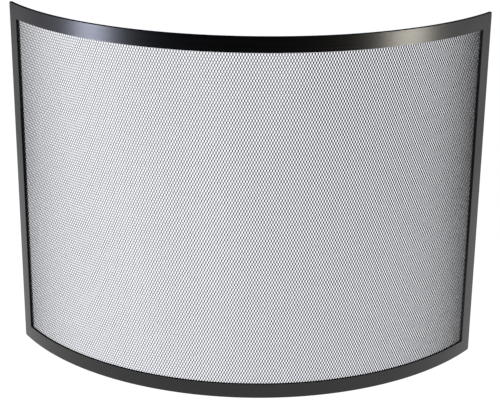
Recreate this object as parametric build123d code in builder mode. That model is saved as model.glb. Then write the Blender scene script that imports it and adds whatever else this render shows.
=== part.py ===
from build123d import *
from math import asin, cos, degrees, radians, sin, sqrt
import os

# Bow-front fireplace screen: a welded frame of flat steel bar, rolled to one arc in plan,
# with a panel of fine expanded metal clamped behind it by four screwed strips.
# Millimetres, +Z up. The middle of the bow faces -Y, the hearth side faces +Y, and the
# origin is on the floor at the middle of the footprint.

# Driving sizes
SCREEN_HEIGHT = 460.0
SCREEN_WIDTH = 600.0  # straight across, between the outer front corners
BOW_DEPTH = 160.0  # how far the corners stand behind the middle of the bow

BAR_WIDTH = 19.0
BAR_THICKNESS = 3.2
BAR_EDGE_RADIUS = 0.8  # eased edge round the outside of the frame's front
TOP_CORNER_RADIUS = 1.5  # the two upper outer corners of the frame
FOOT_CORNER_RADIUS = 3.0  # the two lower ones

MESH_THICKNESS = 1.5  # over the tilted strands
MESH_SETBACK = 5.0  # from the outside of the frame to the cut edge of the mesh

STRIP_WIDTH = 12.0
STRIP_THICKNESS = 1.2
STRIP_SETBACK = 4.5
STRIP_GAP = 0.5  # between the ends of neighbouring strips

SCREW_DIAMETER = 3.0
SCREW_BITE = 2.2  # length of thread in the bar
SCREW_HEAD_DIAMETER = 5.6
SCREW_HEAD_HEIGHT = 1.7
SCREW_HEAD_ROUND = 0.7
SCREW_SOCKET_WIDTH = 2.0  # hexagon, across its flats
SCREW_SOCKET_DEPTH = 0.9
SCREWS_PER_RAIL = 6
SCREWS_PER_STILE = 3
TAPPED_HOLE_DEPTH = 2.6
CLEARANCE_HOLE_DIAMETER = 3.4
DRILL_START = 0.5  # how far off the surface each drill starts and each through hole ends
ON_OUTLINE = 0.001  # how near an edge is to the outline when it is part of it

# The arc, seen from above
BOW_RADIUS = (SCREEN_WIDTH**2 / 4 + BOW_DEPTH**2) / (2 * BOW_DEPTH)
HALF_ANGLE = degrees(asin(SCREEN_WIDTH / 2 / BOW_RADIUS))
BAR_REAR_RADIUS = BOW_RADIUS - BAR_THICKNESS
MESH_REAR_RADIUS = BAR_REAR_RADIUS - MESH_THICKNESS
STRIP_REAR_RADIUS = MESH_REAR_RADIUS - STRIP_THICKNESS
ARC_CENTRE_Y = (BOW_RADIUS + BAR_REAR_RADIUS * cos(radians(HALF_ANGLE))) / 2

# A flat screw head sits on the concave strip by its rim
SCREW_SEAT_RADIUS = sqrt(STRIP_REAR_RADIUS**2 - (SCREW_HEAD_DIAMETER / 2) ** 2)


def angle_of(length):
    """Degrees that a length along the front of the frame takes up at the arc's centre."""
    return degrees(length / BOW_RADIUS)


def on_arc(radius, angle):
    """The plan position at an angle from the middle of the bow, positive towards +X."""
    return (
        radius * sin(radians(angle)),
        ARC_CENTRE_Y - radius * cos(radians(angle)),
    )


def curved_wall(front_radius, rear_radius, start, end):
    """The plan of a wall that follows the bow from one angle to another, as a face."""
    middle = (start + end) / 2
    with BuildLine() as outline:
        ThreePointArc(
            on_arc(front_radius, start),
            on_arc(front_radius, middle),
            on_arc(front_radius, end),
        )
        Line(on_arc(front_radius, end), on_arc(rear_radius, end))
        ThreePointArc(
            on_arc(rear_radius, end),
            on_arc(rear_radius, middle),
            on_arc(rear_radius, start),
        )
        Line(on_arc(rear_radius, start), on_arc(front_radius, start))
    make_face(outline.edges())


def inward_plane(radius, angle, height):
    """A plane square to the bow, with its normal towards the arc's centre."""
    along = (cos(radians(angle)), sin(radians(angle)), 0)
    inward = (-sin(radians(angle)), cos(radians(angle)), 0)
    return Plane(origin=(*on_arc(radius, angle), height), x_dir=along, z_dir=inward)


def mitre_plane(side, corner_height, rise):
    """The weld plane at a corner of the frame. Its normal points half along the rail,
    away from the corner on that side, and half up or down, as rise is 1 or -1."""
    away = (-side * cos(radians(HALF_ANGLE)), -sin(radians(HALF_ANGLE)), rise)
    corner = (*on_arc(BOW_RADIUS, side * HALF_ANGLE), corner_height)
    return Plane(origin=corner, z_dir=away)


# Strips and screws: angles along the bow and heights above the floor
STRIP_MIDDLE = STRIP_SETBACK + STRIP_WIDTH / 2
strip_outer_angle = HALF_ANGLE - angle_of(STRIP_SETBACK)
strip_inner_angle = strip_outer_angle - angle_of(STRIP_WIDTH)
screw_end_angle = HALF_ANGLE - angle_of(STRIP_MIDDLE)
rail_screw_pitch = 2 * screw_end_angle / SCREWS_PER_RAIL
rail_screw_angles = [
    rail_screw_pitch * (i + 0.5) - screw_end_angle for i in range(SCREWS_PER_RAIL)
]
stile_screw_pitch = (SCREEN_HEIGHT - 2 * STRIP_MIDDLE) / SCREWS_PER_STILE
stile_screw_heights = [
    stile_screw_pitch * (i + 0.5) + STRIP_MIDDLE for i in range(SCREWS_PER_STILE)
]
screw_places = {
    "top": [(angle, SCREEN_HEIGHT - STRIP_MIDDLE) for angle in rail_screw_angles],
    "bottom": [(angle, STRIP_MIDDLE) for angle in rail_screw_angles],
    "left": [(-screw_end_angle, height) for height in stile_screw_heights],
    "right": [(screw_end_angle, height) for height in stile_screw_heights],
}


def screw_planes(edge, radius):
    """The planes of the screws along one edge of the frame, at a given radius."""
    return [inward_plane(radius, angle, height) for angle, height in screw_places[edge]]


# The whole frame before it is divided: a curved wall with its window and four corners
window_angle = HALF_ANGLE - angle_of(BAR_WIDTH)
with BuildPart() as frame_blank:
    with BuildSketch(Plane.XY):
        curved_wall(BOW_RADIUS, BAR_REAR_RADIUS, -HALF_ANGLE, HALF_ANGLE)
    extrude(amount=SCREEN_HEIGHT)
    with BuildSketch(Plane.XY.offset(BAR_WIDTH)):
        curved_wall(
            BOW_RADIUS + BAR_THICKNESS,
            BAR_REAR_RADIUS - BAR_THICKNESS,
            -window_angle,
            window_angle,
        )
    extrude(amount=SCREEN_HEIGHT - 2 * BAR_WIDTH, mode=Mode.SUBTRACT)
    for height, radius in ((SCREEN_HEIGHT, TOP_CORNER_RADIUS), (0, FOOT_CORNER_RADIUS)):
        level_edges = frame_blank.edges().filter_by_position(Axis.Z, height, height)
        fillet(level_edges.filter_by(GeomType.LINE), radius=radius)
    front = frame_blank.faces().filter_by(GeomType.CYLINDER).sort_by(SortBy.AREA)[-1]
outline = front.outer_wire()


def on_outline(edge):
    """True for an edge of a bar that runs along the outside of the frame's front."""
    return outline.distance_to(edge @ 0.5) < ON_OUTLINE


# Each bar is the blank between its two weld planes, with its own part of the eased edge
pieces = {}
top_mitres = [mitre_plane(side, SCREEN_HEIGHT, 1) for side in (-1, 1)]
bottom_mitres = [mitre_plane(side, 0, -1) for side in (-1, 1)]
left_mitres = [top_mitres[0], bottom_mitres[0]]
right_mitres = [top_mitres[1], bottom_mitres[1]]
for name, edge, mitres, kept_side in (
    ("top_rail", "top", top_mitres, Keep.TOP),
    ("bottom_rail", "bottom", bottom_mitres, Keep.TOP),
    ("left_stile", "left", left_mitres, Keep.BOTTOM),
    ("right_stile", "right", right_mitres, Keep.BOTTOM),
):
    with BuildPart() as bar:
        add(frame_blank.part)
        for mitre in mitres:
            split(bisect_by=mitre, keep=kept_side)
        fillet(bar.edges().filter_by(on_outline), radius=BAR_EDGE_RADIUS)
        with Locations(*screw_planes(edge, BAR_REAR_RADIUS - DRILL_START)):
            Hole(SCREW_DIAMETER / 2, depth=DRILL_START + TAPPED_HOLE_DEPTH)
    pieces[name] = bar.part

# The mesh panel as a plain sheet of its overall thickness, drilled for every screw
mesh_angle = HALF_ANGLE - angle_of(MESH_SETBACK)
all_screw_planes = [
    plane
    for edge in screw_places
    for plane in screw_planes(edge, MESH_REAR_RADIUS - DRILL_START)
]
with BuildPart() as mesh_panel:
    with BuildSketch(Plane.XY.offset(MESH_SETBACK)):
        curved_wall(BAR_REAR_RADIUS, MESH_REAR_RADIUS, -mesh_angle, mesh_angle)
    extrude(amount=SCREEN_HEIGHT - 2 * MESH_SETBACK)
    with Locations(*all_screw_planes):
        Hole(CLEARANCE_HOLE_DIAMETER / 2, depth=MESH_THICKNESS + 2 * DRILL_START)
pieces["mesh_panel"] = mesh_panel.part

# The strips that clamp the mesh: two along the rails, and two between them
side_strip_base = STRIP_SETBACK + STRIP_WIDTH + STRIP_GAP
side_strip_length = SCREEN_HEIGHT - 2 * side_strip_base
top_strip_base = SCREEN_HEIGHT - STRIP_SETBACK - STRIP_WIDTH
for edge, base, length, start, end in (
    ("top", top_strip_base, STRIP_WIDTH, -strip_outer_angle, strip_outer_angle),
    ("bottom", STRIP_SETBACK, STRIP_WIDTH, -strip_outer_angle, strip_outer_angle),
    ("left", side_strip_base, side_strip_length, -strip_outer_angle, -strip_inner_angle),
    ("right", side_strip_base, side_strip_length, strip_inner_angle, strip_outer_angle),
):
    with BuildPart() as strip:
        with BuildSketch(Plane.XY.offset(base)):
            curved_wall(MESH_REAR_RADIUS, STRIP_REAR_RADIUS, start, end)
        extrude(amount=length)
        with Locations(*screw_planes(edge, STRIP_REAR_RADIUS - DRILL_START)):
            Hole(CLEARANCE_HOLE_DIAMETER / 2, depth=STRIP_THICKNESS + 2 * DRILL_START)
    pieces[edge + "_retaining_strip"] = strip.part

# The screws: button heads with a hexagon socket, one node for each edge of the frame
shank_length = BAR_REAR_RADIUS + SCREW_BITE - SCREW_SEAT_RADIUS
for edge in screw_places:
    seats = screw_planes(edge, SCREW_SEAT_RADIUS)
    head_tops = screw_planes(edge, SCREW_SEAT_RADIUS - SCREW_HEAD_HEIGHT)
    with BuildPart() as screws:
        with BuildSketch(*seats):
            Circle(SCREW_HEAD_DIAMETER / 2)
        extrude(amount=SCREW_HEAD_HEIGHT)
        rims = [
            screws.edges().filter_by(GeomType.CIRCLE).sort_by_distance(plane.origin)[0]
            for plane in head_tops
        ]
        fillet(rims, radius=SCREW_HEAD_ROUND)
        with BuildSketch(*seats):
            Circle(SCREW_DIAMETER / 2)
        extrude(amount=-shank_length)
        with BuildSketch(*head_tops):
            RegularPolygon(SCREW_SOCKET_WIDTH / 2, 6, major_radius=False)
        extrude(amount=-SCREW_SOCKET_DEPTH, mode=Mode.SUBTRACT)
    pieces[edge + "_screws"] = screws.part

os.makedirs("parts", exist_ok=True)
for name, piece in pieces.items():
    piece.label = name
    export_step(piece, "parts/" + name + ".step")
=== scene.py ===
"""A bowed fireplace screen: an expanded-metal mesh in a flat-bar frame, painted satin black.

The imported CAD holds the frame, the strips and the screws. This script puts real
expanded metal in place of the CAD's plain curved mesh panel, paints every piece,
and lights it for one view from the front, a little above.
"""

import math

import bpy
from mathutils import Matrix, Vector


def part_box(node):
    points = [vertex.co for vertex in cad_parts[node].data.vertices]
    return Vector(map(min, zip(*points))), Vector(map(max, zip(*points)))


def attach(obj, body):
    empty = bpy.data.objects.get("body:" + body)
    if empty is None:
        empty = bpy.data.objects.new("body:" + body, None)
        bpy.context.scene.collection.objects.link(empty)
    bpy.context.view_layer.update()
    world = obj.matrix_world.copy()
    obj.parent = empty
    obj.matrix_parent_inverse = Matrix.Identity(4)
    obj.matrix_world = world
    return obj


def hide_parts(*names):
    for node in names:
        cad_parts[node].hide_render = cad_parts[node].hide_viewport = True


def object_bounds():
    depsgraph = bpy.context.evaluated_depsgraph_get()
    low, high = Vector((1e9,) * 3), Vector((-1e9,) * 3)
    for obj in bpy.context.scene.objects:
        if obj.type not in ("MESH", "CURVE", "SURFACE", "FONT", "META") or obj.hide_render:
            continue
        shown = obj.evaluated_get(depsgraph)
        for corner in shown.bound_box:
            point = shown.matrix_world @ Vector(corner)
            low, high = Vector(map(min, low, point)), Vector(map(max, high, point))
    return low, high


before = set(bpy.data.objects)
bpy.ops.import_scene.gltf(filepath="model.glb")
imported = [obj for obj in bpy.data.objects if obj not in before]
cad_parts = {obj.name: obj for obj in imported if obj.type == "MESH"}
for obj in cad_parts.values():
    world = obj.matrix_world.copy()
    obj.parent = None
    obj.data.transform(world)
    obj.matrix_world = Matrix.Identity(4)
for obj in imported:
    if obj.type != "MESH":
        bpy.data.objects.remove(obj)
cad_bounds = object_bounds()

LOW = Vector(cad_bounds[0])
HIGH = Vector(cad_bounds[1])
HEIGHT = HIGH.z - LOW.z

# Expanded metal, in metres. Its strips run up the screen and zigzag between bonds.
SHORT_WAY = 0.0035          # opening pitch round the bow
LONG_WAY = 0.0068           # opening pitch up the screen
STRAND_WIDTH = 0.00080
STRAND_THICKNESS = 0.00050
STRAND_TILT = math.radians(46)   # of a strand's width, from square on the sheet
BOND_SHARE = 0.22           # of the long way that a bond takes up
MESH_BANDS = 5              # upright bands of strips, each one piece

# Camera, in screen heights from the front centre of the foot
CAMERA_RIGHT = 0.204
CAMERA_FORWARD = 3.364
CAMERA_UP = 1.807
CAMERA_PITCH = math.radians(20.36)
CAMERA_YAW = math.radians(3.0)
CAMERA_ROLL = math.radians(0.6)
CAMERA_LENS = 100.6         # mm on a 36 mm sensor

EVEN = (1, 1, 1)            # a noise's stretch, the same along every axis
NOISE_RANGE = (0.3, 0.7)    # where nearly all of a noise texture's values lie

FLOOR_COLOUR = (1.0, 1.02, 1.07, 1)   # cool white, a touch over-exposed
FLOOR_HALF = 8.0            # metres from the middle to each edge
FLOOR_GAP = 0.002           # that the table lights lie under the screen
DIM_WORLD = 0.01            # what the paint gets from where there is no light

# The table top in front of the screen is brighter on the right, and changes in small steps
FRONT_EDGE, NEAR_EDGE = -0.5, -0.1
FRONT_LEFT, FRONT_RIGHT = 0.85, 1.3   # radiance
FRONT_FADE = 0.4            # half the width of the change
FRONT_STEPS = 8

# The rest of the table top: name, left, right, front, back, radiance
TABLE = (
    ("table_front_left", -1.6, -FRONT_FADE, FRONT_EDGE, NEAR_EDGE, FRONT_LEFT),
    ("table_front_right", FRONT_FADE, 1.6, FRONT_EDGE, NEAR_EDGE, FRONT_RIGHT),
    ("table_under", -1.0, 1.0, NEAR_EDGE, 0.6, 1.1),
    ("table_left", -2.2, -1.0, NEAR_EDGE, 0.6, 0.5),
    ("table_right", 1.0, 2.2, NEAR_EDGE, 0.6, 0.7),
    ("table_back_left", -2.2, -0.4, 0.6, 1.6, 0.65),
    ("table_back_right", 0.4, 2.2, 0.6, 1.6, 0.5),
    ("table_far", -2.2, 2.2, 1.6, 4.0, 0.8))

# Upright lights on the table, all as far from its middle.
# Each is name, degrees from the front, width, height, radiance, colour.
SIDE_LIGHT_DISTANCE = 1.45
SIDE_LIGHTS = (
    ("left_softbox", -70, 0.36, 0.5, 24, (0.74, 0.79, 0.97)),
    ("right_softbox", 70, 0.40, 0.5, 22, (0.97, 0.92, 0.81)),
    ("left_wall", -102, 0.8, 0.8, 0.6, (0.95, 0.9, 1.0)),
    ("right_wall", 102, 0.8, 0.8, 0.8, (0.92, 0.94, 1.0)))


# ---------------------------------------------------------------- the bow

def bow_of(node):
    """(centre Y, inner radius, outer radius, end angle) of a curved CAD node."""
    points = [v.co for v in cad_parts[node].data.vertices]
    widest = max(points, key=lambda p: (round(p.x, 6), -p.y))
    front = min(points, key=lambda p: p.y)
    rear = max(points, key=lambda p: p.y)
    centre = (widest.x**2 - front.x**2 + widest.y**2 - front.y**2) / (
        2 * (widest.y - front.y))
    outer = math.hypot(widest.x, widest.y - centre)
    inner = math.hypot(rear.x, rear.y - centre)
    return centre, inner, outer, math.atan2(widest.x, centre - widest.y)


# ---------------------------------------------------------------- the mesh

class Expanded:
    """The sheet of expanded metal: where its strips run, in the sheet's own terms."""

    def __init__(self):
        self.centre, inner, outer, end = bow_of("mesh_panel")
        self.radius = (inner + outer) / 2
        low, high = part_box("mesh_panel")
        self.foot, self.top = low[2], high[2]
        arc = 2 * self.radius * end
        self.strips = 2 * round(arc / SHORT_WAY)
        self.pitch = arc / self.strips
        self.half_rows = 2 * round((self.top - self.foot) / LONG_WAY)
        self.half_row = (self.top - self.foot) / self.half_rows
        self.bond = 2 * self.half_row * BOND_SHARE

    def point(self, along, outward, height):
        """A place in the sheet: along the arc from its middle, and out from it."""
        angle = along / self.radius
        radius = self.radius + outward
        return (radius * math.sin(angle), self.centre - radius * math.cos(angle), height)

    def corners(self, strip, lean, height):
        """A strip's four corners where it leans to the next strip (1) or the last (-1)."""
        middle = (strip - (self.strips - 1) / 2 + lean / 2) * self.pitch
        across, through = STRAND_WIDTH, STRAND_THICKNESS / 2
        sin, cos = math.sin(STRAND_TILT), math.cos(STRAND_TILT)
        found = []
        for side, face in ((-1, -1), (1, -1), (1, 1), (-1, 1)):
            width = (side - lean) / 2 * across
            found.append(self.point(
                middle + width * sin + face * through * cos,
                width * cos - face * through * sin,
                height))
        return found

    def stations(self):
        """(half row, which end of its bond, height) from the foot to the top."""
        for row in range(self.half_rows + 1):
            middle = self.foot + row * self.half_row
            for end in (-1, 1):
                height = middle + end * self.bond / 2
                yield row, end, min(max(height, self.foot), self.top)


def strip_band(sheet, first, last):
    """Vertices and faces of strips first to last - 1, joined at their bonds."""
    vertices, faces, shared = [], [], {}

    def section(strip, row, end, height):
        lean = 1 if (row + strip) % 2 == 0 else -1
        ids = []
        for index, place in enumerate(sheet.corners(strip, lean, height)):
            side = -1 if index in (0, 3) else 1
            face = -1 if index < 2 else 1
            key = (strip + (lean > 0), row, end, face) if side == lean else None
            if key is None or key not in shared:
                vertices.append(place)
                shared[key] = len(vertices) - 1
            ids.append(shared[key])
        return lean, ids

    for strip in range(first, last):
        below = None
        for row, end, height in sheet.stations():
            lean, ids = section(strip, row, end, height)
            if below is None:
                faces.append(ids[::-1])
            else:
                neighbour = first <= strip + lean < last
                joined = end == 1 and neighbour
                for index in range(4):
                    is_inner = index == (1 if lean > 0 else 3)
                    if joined and is_inner:
                        continue
                    following = (index + 1) % 4
                    faces.append((below[index], below[following], ids[following], ids[index]))
            below = ids
        faces.append(below)
    return vertices, faces


def expanded_mesh():
    """The whole sheet, in bands side by side."""
    sheet = Expanded()
    bands = []
    for number in range(MESH_BANDS):
        first = sheet.strips * number // MESH_BANDS
        last = sheet.strips * (number + 1) // MESH_BANDS
        vertices, faces = strip_band(sheet, first, last)
        data = bpy.data.meshes.new(f"expanded_mesh_{number + 1}")
        data.from_pydata(vertices, [], faces)
        band = bpy.data.objects.new(data.name, data)
        bpy.context.collection.objects.link(band)
        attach(band, "root")
        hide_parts("mesh_panel")
        bands.append(band)
    return bands


# ---------------------------------------------------------------- materials

def new_material(name):
    """A material with its nodes and links."""
    material = bpy.data.materials.new(name)
    material.use_nodes = True
    return material, material.node_tree.nodes, material.node_tree.links


def noise(nodes, links, scale, stretch, detail):
    """A noise texture in the object's own metres, stretched per axis."""
    place = nodes.new("ShaderNodeTexCoord")
    mapping = nodes.new("ShaderNodeMapping")
    mapping.inputs["Scale"].default_value = stretch
    texture = nodes.new("ShaderNodeTexNoise")
    texture.inputs["Scale"].default_value = scale
    texture.inputs["Detail"].default_value = detail
    links.new(place.outputs["Object"], mapping.inputs["Vector"])
    links.new(mapping.outputs["Vector"], texture.inputs["Vector"])
    return texture.outputs["Fac"]


def tones(nodes, links, factor, dark, light):
    """factor turned into a colour between dark and light."""
    ramp = nodes.new("ShaderNodeValToRGB")
    for end, position, colour in zip(ramp.color_ramp.elements, NOISE_RANGE, (dark, light)):
        end.position = position
        end.color = (*colour, 1)
    links.new(factor, ramp.inputs["Fac"])
    return ramp.outputs["Color"]


def spread(nodes, links, factor, low, high):
    """factor turned into a number between low and high."""
    span = nodes.new("ShaderNodeMapRange")
    span.inputs["From Min"].default_value = NOISE_RANGE[0]
    span.inputs["From Max"].default_value = NOISE_RANGE[1]
    span.inputs["To Min"].default_value = low
    span.inputs["To Max"].default_value = high
    links.new(factor, span.inputs["Value"])
    return span.outputs["Result"]


def bump(nodes, links, factor, strength, depth):
    """factor turned into a surface relief, depth in metres."""
    node = nodes.new("ShaderNodeBump")
    node.inputs["Strength"].default_value = strength
    node.inputs["Distance"].default_value = depth
    links.new(factor, node.inputs["Height"])
    return node.outputs["Normal"]


def bar_paint(name, roughness, streaks):
    """Satin black paint, with fine streaks along the bar and a slight orange peel."""
    material, nodes, links = new_material(name)
    shader = nodes["Principled BSDF"]
    shader.inputs["IOR"].default_value = 1.45
    lines = noise(nodes, links, scale=1, stretch=streaks, detail=3)
    peel = noise(nodes, links, scale=900, stretch=EVEN, detail=2)
    colour = tones(nodes, links, lines, dark=(0.002, 0.002, 0.0022), light=(0.005, 0.005, 0.0055))
    links.new(colour, shader.inputs["Base Color"])
    links.new(spread(nodes, links, lines, *roughness), shader.inputs["Roughness"])
    links.new(bump(nodes, links, peel, strength=0.15, depth=0.0001), shader.inputs["Normal"])
    return material


def mesh_paint():
    """Thinner black paint on the strands, greyer where it is thin."""
    material, nodes, links = new_material("mesh_paint")
    shader = nodes["Principled BSDF"]
    shader.inputs["IOR"].default_value = 1.5
    patches = noise(nodes, links, scale=60, stretch=EVEN, detail=3)
    grain = noise(nodes, links, scale=2500, stretch=EVEN, detail=2)
    colour = tones(nodes, links, patches, dark=(0.035, 0.036, 0.04), light=(0.06, 0.061, 0.065))
    links.new(colour, shader.inputs["Base Color"])
    links.new(spread(nodes, links, grain, low=0.22, high=0.32), shader.inputs["Roughness"])
    links.new(bump(nodes, links, grain, strength=0.2, depth=0.00005), shader.inputs["Normal"])
    return material


def black_oxide():
    """Black oxide steel on the screws, a little brown and worn."""
    material, nodes, links = new_material("black_oxide")
    shader = nodes["Principled BSDF"]
    shader.inputs["Metallic"].default_value = 1.0
    wear = noise(nodes, links, scale=700, stretch=EVEN, detail=4)
    colour = tones(nodes, links, wear, dark=(0.02, 0.019, 0.018), light=(0.075, 0.07, 0.066))
    links.new(colour, shader.inputs["Base Color"])
    links.new(spread(nodes, links, wear, low=0.28, high=0.5), shader.inputs["Roughness"])
    return material


def assign(node, material):
    """The CAD node's only material."""
    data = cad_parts[node].data
    data.materials.clear()
    data.materials.append(material)


def finish_pieces():
    """Every CAD node and every mesh band gets its material."""
    rail = bar_paint("rail_paint", roughness=(0.28, 0.32), streaks=(3, 3, 900))
    stile = bar_paint("stile_paint", roughness=(0.26, 0.36), streaks=(900, 900, 3))
    screws = black_oxide()
    mesh = mesh_paint()
    for place in ("top", "bottom"):
        assign(f"{place}_rail", rail)
        assign(f"{place}_retaining_strip", rail)
        assign(f"{place}_screws", screws)
    for place in ("left", "right"):
        assign(f"{place}_stile", stile)
        assign(f"{place}_retaining_strip", stile)
        assign(f"{place}_screws", screws)
    for band in expanded_mesh():
        band.data.materials.append(mesh)


# ---------------------------------------------------------------- studio

def seen_only_by_camera(part):
    """Nothing is lit by the part or reflects it, and it casts no shadow."""
    part.visible_diffuse = part.visible_glossy = False
    part.visible_transmission = part.visible_shadow = False


def pale_floor():
    """The floor that the camera sees, which glows so that it stays plain white."""
    corners = ((-1, -1), (1, -1), (1, 1), (-1, 1))
    data = bpy.data.meshes.new("floor")
    data.from_pydata([(x * FLOOR_HALF, y * FLOOR_HALF, LOW.z) for x, y in corners],
                     [], [(0, 1, 2, 3)])
    part = bpy.data.objects.new("floor", data)
    bpy.context.collection.objects.link(part)
    material, nodes, _ = new_material("pale_floor")
    shader = nodes["Principled BSDF"]
    shader.inputs["Base Color"].default_value = (0.1, 0.1, 0.1, 1)
    shader.inputs["Roughness"].default_value = 1.0
    shader.inputs["Emission Color"].default_value = FLOOR_COLOUR
    shader.inputs["Emission Strength"].default_value = 1.0
    data.materials.append(material)
    seen_only_by_camera(part)


def area_light(name, width, depth, radiance, colour=(1, 1, 1)):
    """An even rectangle of light that the camera doesn't see, facing down until it is turned."""
    data = bpy.data.lights.new(name, "AREA")
    data.shape = "RECTANGLE"
    data.size, data.size_y = width, depth
    data.energy = radiance * math.pi * width * depth
    data.color = colour
    light = bpy.data.objects.new(name, data)
    light.visible_camera = False
    bpy.context.collection.objects.link(light)
    return light


def table_light(name, left, right, front, back, radiance):
    """A part of the white table top, which the paint reflects."""
    light = area_light(name, right - left, back - front, radiance)
    light.location = ((left + right) / 2, (front + back) / 2, LOW.z - FLOOR_GAP)
    light.rotation_euler = (math.pi, 0, 0)


def side_light(name, degrees, width, height, radiance, colour):
    """An upright soft light that faces the screen, so many degrees from the front to the right."""
    light = area_light(name, width, height, radiance, colour)
    bearing = math.radians(degrees)
    light.location = (SIDE_LIGHT_DISTANCE * math.sin(bearing),
                      -SIDE_LIGHT_DISTANCE * math.cos(bearing), height / 2)
    light.rotation_euler = (math.pi / 2, 0, bearing)


def studio_air():
    """Pale all round to the camera, and nearly dark to the paint, which the lights model."""
    world = bpy.data.worlds.new("studio")
    world.use_nodes = True
    nodes, links = world.node_tree.nodes, world.node_tree.links
    backdrop = nodes["Background"]
    backdrop.inputs["Color"].default_value = FLOOR_COLOUR
    dim = nodes.new("ShaderNodeBackground")
    dim.inputs["Strength"].default_value = DIM_WORLD
    path = nodes.new("ShaderNodeLightPath")
    mix = nodes.new("ShaderNodeMixShader")
    links.new(path.outputs["Is Camera Ray"], mix.inputs["Fac"])
    links.new(dim.outputs["Background"], mix.inputs[1])
    links.new(backdrop.outputs["Background"], mix.inputs[2])
    links.new(mix.outputs["Shader"], nodes["World Output"].inputs["Surface"])
    bpy.context.scene.world = world


def front_table_lights():
    """The table top in front of the screen, brighter step by step towards the right."""
    for step in range(FRONT_STEPS):
        left = FRONT_FADE * (2 * step / FRONT_STEPS - 1)
        right = FRONT_FADE * (2 * (step + 1) / FRONT_STEPS - 1)
        share = (step + 0.5) / FRONT_STEPS
        radiance = FRONT_LEFT + (FRONT_RIGHT - FRONT_LEFT) * share
        table_light(f"table_front_{step + 1}", left, right, FRONT_EDGE, NEAR_EDGE, radiance)


def studio():
    """The pale surroundings and every light."""
    studio_air()
    pale_floor()
    for part in TABLE:
        table_light(*part)
    front_table_lights()
    for light in SIDE_LIGHTS:
        side_light(*light)


def camera():
    """The photograph's view, from the front and a little above."""
    data = bpy.data.cameras.new("camera")
    data.lens = CAMERA_LENS
    view = bpy.data.objects.new("camera", data)
    place = Vector((CAMERA_RIGHT * HEIGHT, LOW.y - CAMERA_FORWARD * HEIGHT,
                    LOW.z + CAMERA_UP * HEIGHT))
    turn = (Matrix.Rotation(CAMERA_YAW, 4, "Z")
            @ Matrix.Rotation(math.pi / 2 - CAMERA_PITCH, 4, "X")
            @ Matrix.Rotation(CAMERA_ROLL, 4, "Z"))
    view.matrix_world = Matrix.Translation(place) @ turn
    bpy.context.collection.objects.link(view)
    bpy.context.scene.camera = view


finish_pieces()
studio()
camera()
bpy.context.scene.view_settings.view_transform = "Standard"
